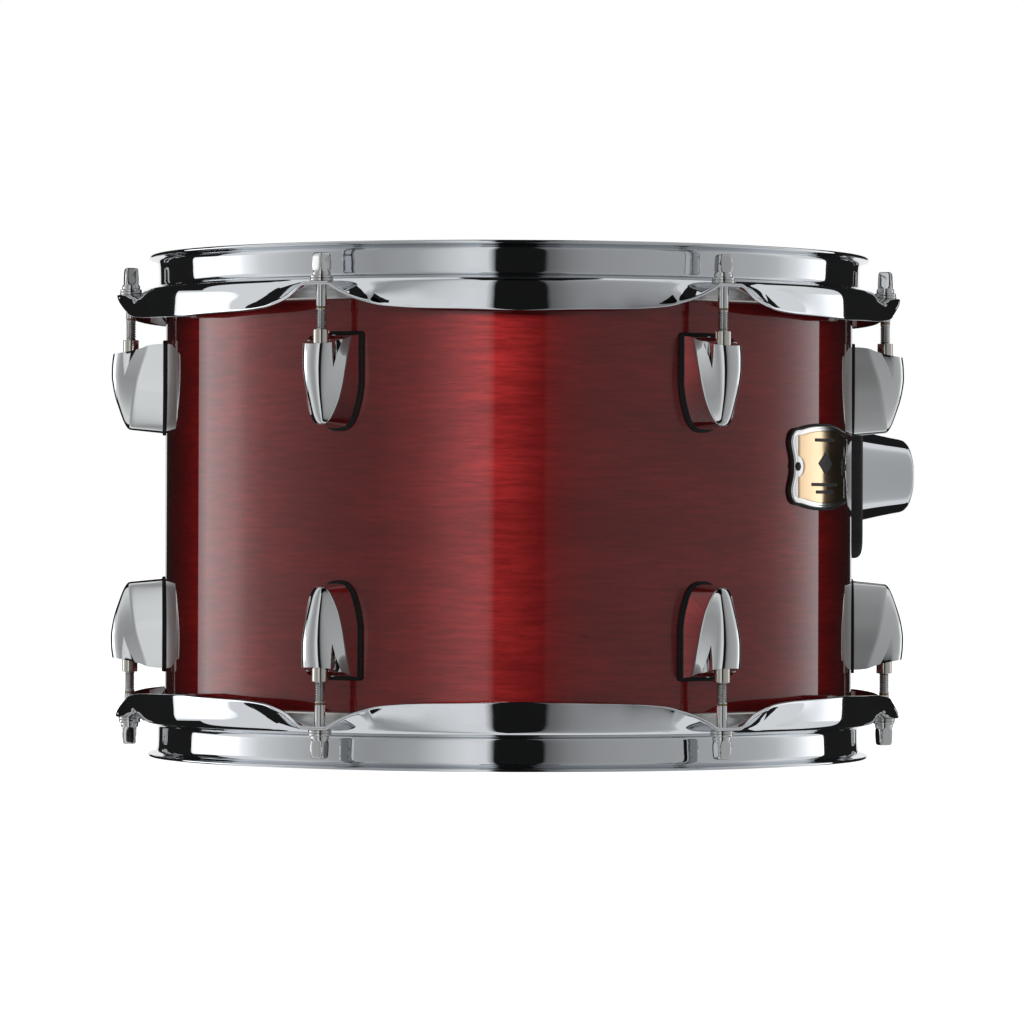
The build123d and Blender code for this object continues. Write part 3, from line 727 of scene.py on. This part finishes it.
def lug_part():
    """A die-cast lug as a skin of sections, closed at both ends.

    Towards the nut end the sections bend until the last one follows nut_end, and towards the tip
    they lean a little at the shell.
    """
    steps = 54
    heights = LUG_TIP_Z + (LUG_NUT_Z - LUG_TIP_Z) * (np.arange(steps + 1) / steps) ** 1.45
    rows = []
    for row_height in heights:
        half = lug_section(row_height)
        warp = float(smoothstep(row_height, 46, LUG_NUT_Z))
        lean = 1.6 * (1 - float(smoothstep(row_height, LUG_TIP_Z, 48)))
        points = []
        for k in range(len(half)):
            z = row_height
            # Where a point ends depends on the section there, so three rounds settle it
            for _ in range(3):
                z = row_height - (LUG_NUT_Z - nut_end(lug_section(z)[k].y)) * warp
            near = lug_section(z)[k] if warp > 0 else half[k]
            points.append((near.x, near.y, z - lean * max(0.0, 1 - near.y / 15.6)))
        mirrored = [(-x, y, z) for x, y, z in reversed(points[:-1])]
        rows.append(points + mirrored)
    grid = np.array(rows)
    count = grid.shape[1]
    points = np.stack([grid[..., 0], -(SHELL_R + np.maximum(grid[..., 1], 0.0)), grid[..., 2]], axis=-1)
    foot = points[:, [0, -1], :].copy()
    drop = SHELL_R - np.sqrt(np.maximum(SHELL_R**2 - foot[..., 0] ** 2, 0))
    points[:, 0, 1] += drop[:, 0] - 0.02
    points[:, -1, 1] += drop[:, 1] - 0.02
    flat = points.reshape(-1, 3)
    faces = grid_faces(len(points), count)
    last = (len(points) - 1) * count
    middle = (count - 1) // 2
    for k in range(middle):
        a, b = last + k, last + k + 1
        c, d = last + count - 2 - k, last + count - 1 - k
        faces.append((a, d, c, b) if b != c else (a, d, b))
    faces.append(tuple(reversed(range(count))))
    return flat, flipped(faces)


def notch_part(hand):
    """The narrow V that parts the lug's side wall from its spine at the nut end."""
    top = SHELL_R + 30.0

    def slab(z, inner, outer, low):
        return [(hand * x, -y, z) for x, y in ((inner, low), (outer, low), (outer, top), (inner, top))]

    points = slab(57.5, 7.2, 7.25, SHELL_R + 15.8) + slab(80.0, 6.5, 10.0, SHELL_R + 9.0)
    faces = [(0, 1, 2, 3), (7, 6, 5, 4), (0, 4, 5, 1), (1, 5, 6, 2), (2, 6, 7, 3), (3, 7, 4, 0)]
    return points, faces if hand > 0 else flipped(faces)


def make_lugs():
    """One lug, bored and notched with its edges eased, then placed twelve times."""
    base = bpy.data.objects.new("lug_blank", make_mesh("lug", *lug_part(), 1, 28))
    bpy.context.scene.collection.objects.link(base)
    base.data.materials.append(LOOKS["lug_chrome"])
    cut_away(base, on_rod_circle(pin(SLEEVE_R + 0.3, 60, 80)))
    for hand in (1, -1):
        cut_away(base, notch_part(hand))
    bevel = base.modifiers.new("edges", "BEVEL")
    bevel.width = 0.2 * MM
    bevel.segments = 2
    bevel.limit_method = "ANGLE"
    bevel.angle_limit = math.radians(32)
    bevel.harden_normals = True
    bpy.context.view_layer.update()
    upper = bpy.data.meshes.new_from_object(base.evaluated_get(bpy.context.evaluated_depsgraph_get()))
    lower = upper.copy()
    lower.transform(Matrix.Translation((0, 0, 2 * MID)) @ Matrix.Diagonal((1, 1, -1, 1)))
    lower.flip_normals()
    bpy.data.objects.remove(base)
    for name, mesh in (("batter", upper), ("resonant", lower)):
        for number, angle in enumerate(ROD_ANGLES, start=1):
            node = f"{name}_lug_{number}"
            add(f"{node}_cast", mesh, "shell", "lug_chrome", [node], angle)


# ---------------------------------------------------------------- plates that hug the shell, gaskets


def inset_outline(outline, inset):
    """A closed (across, up) outline moved inwards."""
    before = np.roll(outline, 1, axis=0)
    after = np.roll(outline, -1, axis=0)
    along = after - before
    along /= np.linalg.norm(along, axis=1, keepdims=True)
    return outline + np.stack([-along[:, 1], along[:, 0]], axis=1) * inset


def wrapped(across, up, out):
    """Points wrapped on the shell, a distance out from it."""
    turn = across / SHELL_R
    return np.stack([(SHELL_R + out) * np.sin(turn), -(SHELL_R + out) * np.cos(turn), up], axis=-1)


def hugging_part(outline, steps, fill=10):
    """A plate wrapped on the shell: (inset, distance from the shell) rings, then an even fill."""
    rings = [(inset_outline(outline, inset), out) for inset, out in steps]
    last, out = rings[-1]
    centre = last.mean(axis=0)
    for k in range(1, fill + 1):
        rings.append((centre + (last - centre) * (1 - k / fill * 0.999), out))
    points = [wrapped(shape[:, 0], shape[:, 1], out) for shape, out in rings]
    return np.concatenate(points), grid_faces(len(rings), len(outline))


def arc_outline(corners, radius, steps=8):
    """A closed outline with rounded corners, evenly filled, going anticlockwise."""
    out = np.array(rounded(corners, radius, steps))
    dense = []
    for i in range(len(out)):
        a, b = out[i], out[(i + 1) % len(out)]
        count = max(1, int(np.linalg.norm(b - a) / 1.0))
        dense += [a + (b - a) * k / count for k in range(count)]
    return np.array(dense)


def lug_outline():
    """The bullet-shaped foot of a lug with the gasket's margin round it."""
    heights = [33.6, 33.8, 34.1, 34.6, 35.4, 36.5, 38, 41, 45, 50, 56, 62, 67, 71.0, 71.8]
    right = [(lug_section(z)[0].x, z - 1.3 * (1 - float(smoothstep(z, 34, 50)))) for z in heights]
    outline = right + [(-x, z) for x, z in reversed(right)]
    return inset_outline(arc_outline(outline, 0.8, 3), -1.15)


def make_lug_gaskets():
    """A moulded rubber gasket under every lug."""
    part = hugging_part(lug_outline(), [(0, 0.0), (0, 0.9), (0.15, 1.15), (0.4, 1.25), (1.2, 1.25)])
    for name, side in SIDES.items():
        mesh = make_mesh("gaskets", *at_rods(part), side)
        add(f"{name}_lug_gaskets_moulded", mesh, "shell", "gasket_rubber", [f"{name}_lug_gaskets"])


# ---------------------------------------------------------------- badge


def badge_outline():
    """A shield: bowed above and below, waisted at the sides, with rounded corners."""
    low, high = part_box("badge_gasket")
    half_x = (high.x - low.x) / 2 / MM - 0.8
    half_z = (high.z - low.z) / 2 / MM
    corner_z = half_z * 0.60
    levels = np.linspace(-corner_z, corner_z, 21)
    right = [(half_x - 2.2 * (1 - float(smoothstep(abs(z), 1.5, 10.5))), z) for z in levels]
    corner = [(half_x - 1.1, corner_z + 3.4), (half_x - 4.2, corner_z + 5.2)]
    top = [(half_x * x, half_z - 2.6 * abs(x / 0.8) ** 2.2) for x in np.linspace(0.72, -0.72, 15)]
    upper = corner + top + [(-x, z) for x, z in reversed(corner)]
    left = [(-x, -z) for x, z in right]
    lower = [(-x, -z) for x, z in upper]
    return arc_outline(right + upper + left + lower, 3.0, 3)


def make_badge():
    """The rubber rim, the struck plate, its gilt field, a lozenge and bars on it, and two rivets."""
    low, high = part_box("badge_gasket")
    centre_z = ((low.z + high.z) / 2 - MID) / MM
    outline = badge_outline() + (0.7, centre_z)
    rim = [(0, 0.0), (0, 0.9), (0.12, 1.25), (0.3, 1.4), (0.6, 1.4), (0.8, 1.2), (0.9, 0.9)]
    mesh = make_mesh("badge_rim", *hugging_part(outline, rim))
    add("badge_rubber_rim", mesh, "shell", "badge_backing", ["badge_gasket"])
    edge = [(0.8, 0.85), (0.85, 1.5), (1.0, 1.85), (1.4, 2.0), (1.9, 2.0), (2.2, 1.85), (2.5, 1.9)]
    mesh = make_mesh("badge_plate", *hugging_part(outline, edge, 14), 1, 60)
    add("badge_plate_struck", mesh, "shell", "badge_metal", ["badge_plate"])
    field = inset_outline(outline, 3.0)
    bay = np.sqrt(np.maximum(BAY_R**2 - (field[:, 1] - centre_z) ** 2, 0))
    limit = np.where(bay > 0, np.minimum(FIELD_HALF, RIVET_X - bay), FIELD_HALF)
    field[:, 0] = np.clip(field[:, 0], -limit, limit)
    mesh = make_mesh("badge_field", *hugging_part(field, [(0, 1.8), (0, 1.98), (0.12, 2.04)], 14), 1, 60)
    mesh.materials.append(LOOKS["badge_gold"])
    add("badge_field", mesh, "shell", "badge_metal")
    raised = [(0, 2.0), (0.1, 2.25)]
    lozenge = np.array([(7.0, 0), (0, 5.0), (-7.0, 0), (0, -5.0)])
    pieces = [hugging_part(arc_outline(lozenge, 0.4, 2) + (0, centre_z + 1.5), raised, 4)]
    for height, half in ((11.5, 10.0), (-7.6, 13.0), (-10.8, 9.0)):
        bar = np.array([(half, -0.75), (half, 0.75), (-half, 0.75), (-half, -0.75)])
        pieces.append(hugging_part(arc_outline(bar, 0.4, 2) + (0, centre_z + height), raised, 2))
    add("badge_motif", make_mesh("badge_motif", *join(pieces)), "shell", "badge_rivet")
    make_rivets(centre_z)


def dot_on_shell(across, up, radius, low, high):
    """A small raised dot with a domed top."""
    turn = np.linspace(0, 2 * math.pi, 20, endpoint=False)
    rows = []
    for share, out in ((1.0, low), (0.95, low + (high - low) * 0.6), (0.7, high), (0.02, high + 0.1)):
        reach = radius * share
        rows.append(wrapped(across + reach * np.cos(turn), up + reach * np.sin(turn), out))
    return np.concatenate(rows), grid_faces(len(rows), len(turn))


def make_rivets(centre_z):
    """Black dome-headed rivets with their tails inside the shell."""
    tail, tail_faces = lathe([(0.01, 0), (2.3, 0), (2.4, 0.5), (1.9, 1.2), (0.01, 1.5)], 24)
    parts = []
    for x in (-RIVET_X, RIVET_X):
        parts.append(dot_on_shell(x, centre_z, RIVET_R, 1.8, 2.6))
        wall = math.sqrt((SHELL_R - SHELL_WALL) ** 2 - x**2)
        points = np.stack([tail[:, 0] + x, tail[:, 2] - wall, tail[:, 1] + centre_z], axis=-1)
        parts.append((points, tail_faces))
    mesh = make_mesh("rivets", *join(parts))
    add("badge_rivets_black", mesh, "shell", "badge_rivet", ["badge_rivets"])


# ---------------------------------------------------------------- tom mount


def make_mount():
    """The mount's rubber gasket and stepped black plate, then its receiver."""
    low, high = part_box("mount_plate")
    centre_z = ((low.z + high.z) / 2 - MID) / MM
    half_z = (high.z - low.z) / 2 / MM
    corners = [(MOUNT_HALF_WIDTH * x, half_z * z) for x, z in ((1, -1), (1, 1), (-1, 1), (-1, -1))]
    outline = arc_outline(corners, MOUNT_CORNER) + (0, centre_z)
    gasket = hugging_part(inset_outline(outline, -0.4), [(0, 0.0), (0, 1.2), (0.3, 1.5)])
    mesh = make_mesh("mount_gasket", *gasket)
    add("mount_gasket_moulded", mesh, "shell", "gasket_rubber", ["mount_gasket"], MOUNT_ANGLE)
    step = [(0, 1.45), (0, 6.2), (0.2, 6.9), (0.6, 7.5), (1.2, 7.9), (2.0, 8.15), (3.2, 8.3)]
    mesh = make_mesh("mount_plate", *hugging_part(outline, step))
    add("mount_plate_stepped", mesh, "shell", "mount_black", ["mount_plate"], MOUNT_ANGLE)
    make_receiver(centre_z)


def make_receiver(centre_z):
    """The tapered chrome housing with its bushing and clamp boss; the wing screw's way crosses them."""
    points, faces = sideways(pin(SCREW_WAY_R, 4, 26), centre_z)
    screw_way = turned((points, flipped(faces)), MOUNT_ANGLE)
    housing = [(22.6, 155.5), (22.3, 158.5), (21.8, 160.6), (21.2, 163.0), (20.0, 168.0), (18.7, 174.0),
               (17.5, 180.0), (16.8, 184.2), (16.5, 185.6), (16.05, 186.4), (15.2, 186.85), (14.0, 187.0),
               (11.9, 187.0), (11.5, 186.8), (11.3, 186.2), (11.3, 183.0), (10.0, 182.0), (10.0, 164.0)]
    mesh = make_mesh("housing", *outward(lathe(housing, 96, True), centre_z), 1, 50)
    obj = add("mount_housing_cast", mesh, "shell", "mount_chrome", ["mount_housing"], MOUNT_ANGLE)
    cut_away(obj, screw_way)
    boss = [(7.5, 8.0), (7.5, 22.6), (7.2, 23.5), (6.6, 24.0), (3.4, 24.0), (SCREW_WAY_R, 23.6),
            (SCREW_WAY_R, 12.0)]
    mesh = make_mesh("boss", *sideways(lathe(boss, 64), centre_z))
    add("mount_clamp_boss", mesh, "shell", "mount_chrome", turn=MOUNT_ANGLE)
    corners = [(6.0, 162.0), (9.9, 162.0), (9.9, 186.8), (11.4, 187.0), (11.4, 188.4), (6.0, 188.4)]
    mesh = make_mesh("bushing", *outward(lathe(rounded(corners, 0.5), 72, True), centre_z))
    obj = add("mount_bushing_moulded", mesh, "shell", "bushing_plastic", ["mount_bushing"], MOUNT_ANGLE)
    cut_away(obj, screw_way)


# ---------------------------------------------------------------- shell and heads


def make_shell():
    """The stained shell with its two bearing edges, lacquered outside and bare inside, and its vent."""
    top = SHELL_Z
    wall_r = SHELL_R - SHELL_WALL
    inside = [(wall_r, z) for z in (6 - top, -top / 2, 0, top / 2)]
    half = [(wall_r, top - 6), (wall_r, top - 3.9), (149.85, top - 0.12), (150.2, top), (150.55, top - 0.12),
            (SHELL_R - 0.1, top - 1.45), (SHELL_R, top - 1.7), (SHELL_R, top - 3)]
    outside = [(SHELL_R, z) for z in (top / 2, top / 4, 0, -top / 4, -top / 2)]
    points, faces = lathe(inside + half + outside + [(r, -z) for r, z in reversed(half)], 360, True)
    mesh = make_mesh("shell", points, flipped(faces), 1, 40)
    mesh.materials.append(LOOKS["shell_lacquer"])
    mesh.materials.append(LOOKS["shell_birch"])
    obj = add("shell_lacquered", mesh, "shell", "shell_lacquer", ["shell"])
    cut_away(obj, turned(outward(pin(4.9, 140, 160), 0), 180))
    for polygon in obj.data.polygons:
        x, y, _ = polygon.center
        polygon.material_index = int(math.hypot(x, y) / MM < SHELL_R - 0.9)
    return obj


def make_heads():
    """Films with their formed collars, and the flesh hoops that hold them."""
    films = {"batter": "coated_film", "resonant": "clear_film"}
    top = SHELL_Z
    across = np.linspace(0.01, 148, 14)
    over = [(r, top + 0.35) for r in across]
    under = [(r, top + 0.05) for r in across[::-1]]
    skirt = [(150.4, top + 0.34), (151.6, top + 0.22), (152.2, top - 0.2), (152.5, top - 0.9),
             (152.75, top - 2.0), (152.8, 95.0), (152.8, 90.2), (152.4, 90.2), (152.35, 95.0),
             (152.3, top - 2.0), (152.05, top - 0.9), (151.4, top - 0.1), (150.3, top + 0.02)]
    points, faces = lathe(over + skirt + under, 240)
    channel = lathe(rounded([(152.85, 86.2), (158.2, 86.2), (158.2, 93.4), (152.85, 94.0)], 0.9), 240, True)
    for name, side in SIDES.items():
        body = f"{name}_head"
        mesh = make_mesh("film", points, flipped(faces), side, 50)
        add(f"{name}_film_tucked", mesh, body, films[name], [f"{name}_film", f"{name}_collar"])
        mesh = make_mesh("flesh", *channel, side)
        add(f"{name}_flesh_ring", mesh, body, "flesh_aluminium", [f"{name}_flesh_hoop"])


CAD_LOOKS = {
    "lug_screws": "screw_steel",
    "lug_washers": "washer_steel",
    "mount_clamp_pad": "bushing_plastic",
    "mount_wing_screw": "mount_chrome",
    "mount_backing": "screw_steel",
    "mount_bolts": "screw_steel",
    "mount_washers": "washer_steel",
    "vent_grommet": "grommet_steel",
}


def paint_cad_nodes():
    """Gives each CAD node that stays in view its own procedural look."""
    for node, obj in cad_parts.items():
        for ending, look in CAD_LOOKS.items():
            if node.endswith(ending):
                obj.data.materials.clear()
                obj.data.materials.append(LOOKS[look])


# ---------------------------------------------------------------- studio


def aim(obj, target, roll=0.0):
    """Points an object's -Z at a place."""
    turn = (Vector(target) - obj.location).to_track_quat("-Z", "Y").to_matrix().to_4x4()
    obj.rotation_euler = (turn @ Matrix.Rotation(math.radians(roll), 4, "Z")).to_euler()


def around_drum(angle, distance, height):
    a = math.radians(angle)
    return Vector((distance * math.sin(a), -distance * math.cos(a), height))


def make_camera():
    data = bpy.data.cameras.new("camera")
    data.lens = CAMERA_LENS
    data.sensor_width = 36.0
    data.clip_end = 100.0
    data.shift_x, data.shift_y = CAMERA_SHIFT
    camera = bpy.data.objects.new("camera", data)
    bpy.context.scene.collection.objects.link(camera)
    camera.location = around_drum(CAMERA_ANGLE, CAMERA_DISTANCE, MID - CAMERA_DROP)
    aim(camera, (0, 0, MID), CAMERA_ROLL)
    bpy.context.scene.camera = camera


# The studio's brightness all round, as (degrees from the camera's direction, level)
SIDE_LIGHT = ((-180, 0.9), (-127, 0.9), (-124, 1.5), (-119, 2.4), (-112, 2.3), (-103, 2.0), (-96, 1.2),
              (-88, 0.8), (-75, 0.59), (-59, 0.42), (-44, 0.37), (-30, 0.46), (-19, 0.76), (-12, 0.9),
              (-6.0, 0.85), (-5.0, 0.01), (11.6, 0.01), (12.6, 0.14), (20, 0.27), (27, 0.34), (41, 0.40),
              (70, 0.46), (88, 0.50), (97, 0.6), (107, 0.9), (120, 1.6), (125, 1.75), (128, 0.9), (180, 0.9))
LIGHT_SCALE = 3.0
HIGH_LIGHT = 0.85
DARKEST = 0.015


def make_world():
    """A studio of soft panels: bright flanks, a dark slot at the camera, black cloths behind and above."""
    world = bpy.data.worlds.new("studio")
    bpy.context.scene.world = world
    world.use_nodes = True
    nodes, links = world.node_tree.nodes, world.node_tree.links
    nodes.clear()

    def node(kind, **inputs):
        made = nodes.new(kind)
        for key, value in inputs.items():
            setattr(made, key, value)
        return made

    def maths(operation, first, second):
        made = node("ShaderNodeMath", operation=operation)
        for value, socket in ((first, made.inputs[0]), (second, made.inputs[1])):
            if isinstance(value, float):
                socket.default_value = value
            else:
                links.new(value, socket)
        return made.outputs[0]

    where = node("ShaderNodeTexCoord")
    turn = node("ShaderNodeMapping", vector_type="POINT")
    turn.inputs["Rotation"].default_value = (0, 0, math.radians(90 - CAMERA_ANGLE))
    split = node("ShaderNodeSeparateXYZ")
    links.new(where.outputs["Generated"], turn.inputs["Vector"])
    links.new(turn.outputs["Vector"], split.inputs[0])
    forward, across, up = split.outputs[0], split.outputs[1], split.outputs[2]
    azimuth = maths("ARCTAN2", across, forward)
    share = maths("ADD", maths("DIVIDE", azimuth, 2 * math.pi), 0.5)
    sides = node("ShaderNodeValToRGB")
    links.new(share, sides.inputs[0])
    stops = sides.color_ramp.elements
    for angle, _ in SIDE_LIGHT[1:-1]:
        stops.new(angle / 360 + 0.5)
    for stop, (_, level) in zip(stops, SIDE_LIGHT):
        tone = level / LIGHT_SCALE
        stop.color = (tone, tone, tone, 1)
    level = maths("MULTIPLY", sides.outputs[0], LIGHT_SCALE)
    steep = maths("ABSOLUTE", up, 0.0)
    rise = maths("MULTIPLY", maths("SUBTRACT", steep, 0.06), 8.0)
    rise = maths("MINIMUM", maths("MAXIMUM", rise, 0.0), 1.0)
    limit = maths("ADD", maths("MULTIPLY", rise, HIGH_LIGHT - LIGHT_SCALE), LIGHT_SCALE)
    level = maths("MINIMUM", level, limit)

    def region(*bounds):
        """1 where every (value, comparison, bound) holds, else 0."""
        inside = 1.0
        for value, comparison, bound in bounds:
            inside = maths("MULTIPLY", maths(comparison, value, bound), inside)
        return inside

    aside = maths("ABSOLUTE", across, 0.0)
    behind = region((forward, "LESS_THAN", -0.585), (aside, "GREATER_THAN", 0.25))
    roof = region((forward, "LESS_THAN", -0.36), (steep, "GREATER_THAN", 0.22), (across, "LESS_THAN", 0.55))
    zenith = region((across, "GREATER_THAN", -0.12), (across, "LESS_THAN", 0.22), (up, "GREATER_THAN", 0.80),
                    (forward, "GREATER_THAN", -0.5))
    dark = maths("MAXIMUM", maths("MAXIMUM", behind, roof), zenith)
    lit = maths("SUBTRACT", 1.0, maths("MULTIPLY", dark, 1 - DARKEST))
    studio = node("ShaderNodeBackground")
    studio.inputs["Color"].default_value = (0.985, 0.99, 1.0, 1)
    links.new(maths("MULTIPLY", level, lit), studio.inputs["Strength"])
    plain = node("ShaderNodeBackground")
    plain.inputs["Color"].default_value = (1, 1, 1, 1)
    plain.inputs["Strength"].default_value = 1.0
    rays = node("ShaderNodeLightPath")
    mix = node("ShaderNodeMixShader")
    links.new(rays.outputs["Is Camera Ray"], mix.inputs[0])
    links.new(studio.outputs[0], mix.inputs[1])
    links.new(plain.outputs[0], mix.inputs[2])
    output = node("ShaderNodeOutputWorld")
    links.new(mix.outputs[0], output.inputs[0])


def make_light(name, where, size, power, glossy, only=None):
    """A rectangular light aimed at the drum's middle, which may fall on one collection only."""
    data = bpy.data.lights.new(name, "AREA")
    data.shape = "RECTANGLE"
    data.size, data.size_y = size
    data.energy = power
    light = bpy.data.objects.new(name, data)
    bpy.context.scene.collection.objects.link(light)
    light.location = where
    light.visible_camera = False
    light.visible_glossy = glossy
    light.light_linking.receiver_collection = only
    aim(light, (0, 0, MID))


def make_lights(shell):
    """A key light near the camera for the shell alone, and a wide overhead panel that nothing mirrors."""
    lacquered = bpy.data.collections.new("lacquered")
    lacquered.objects.link(shell)
    make_light("key", around_drum(CAMERA_ANGLE - 5, 3.0, 0.70), (0.45, 0.58), 25.0, True, lacquered)
    make_light("overhead", around_drum(CAMERA_ANGLE + 180, 0.2, 2.2), (1.6, 1.6), 16.0, False)


def make_floor():
    """A plain pale floor under the lower rim."""
    mesh = bpy.data.meshes.new("floor")
    corners = [(-40, -40, 0), (40, -40, 0), (40, 40, 0), (-40, 40, 0)]
    mesh.from_pydata(corners, [], [(0, 1, 2, 3)])
    look = Look("floor", Base_Color=(0.9, 0.9, 0.9, 1), Roughness=0.9)
    look.shader.inputs["Specular IOR Level"].default_value = 0.0
    look.shader.inputs["Emission Color"].default_value = (1, 1, 1, 1)
    look.shader.inputs["Emission Strength"].default_value = 0.8
    tone = look.spread(look.noise((2, 2, 2), 3), 0.3, 0.7, 0, 1)
    look.feed(look.mix(tone, (0.89, 0.89, 0.89, 1), (0.91, 0.91, 0.91, 1)), "Base Color")
    mesh.materials.append(look.material)
    floor = bpy.data.objects.new("floor", mesh)
    bpy.context.scene.collection.objects.link(floor)
    floor.visible_glossy = False


shell = make_shell()
make_heads()
make_hoops()
make_rods()
make_washers()
make_sleeves()
make_lugs()
make_lug_gaskets()
make_badge()
make_mount()
paint_cad_nodes()
make_floor()
make_world()
make_lights(shell)
make_camera()
bpy.context.scene.view_settings.view_transform = "Standard"
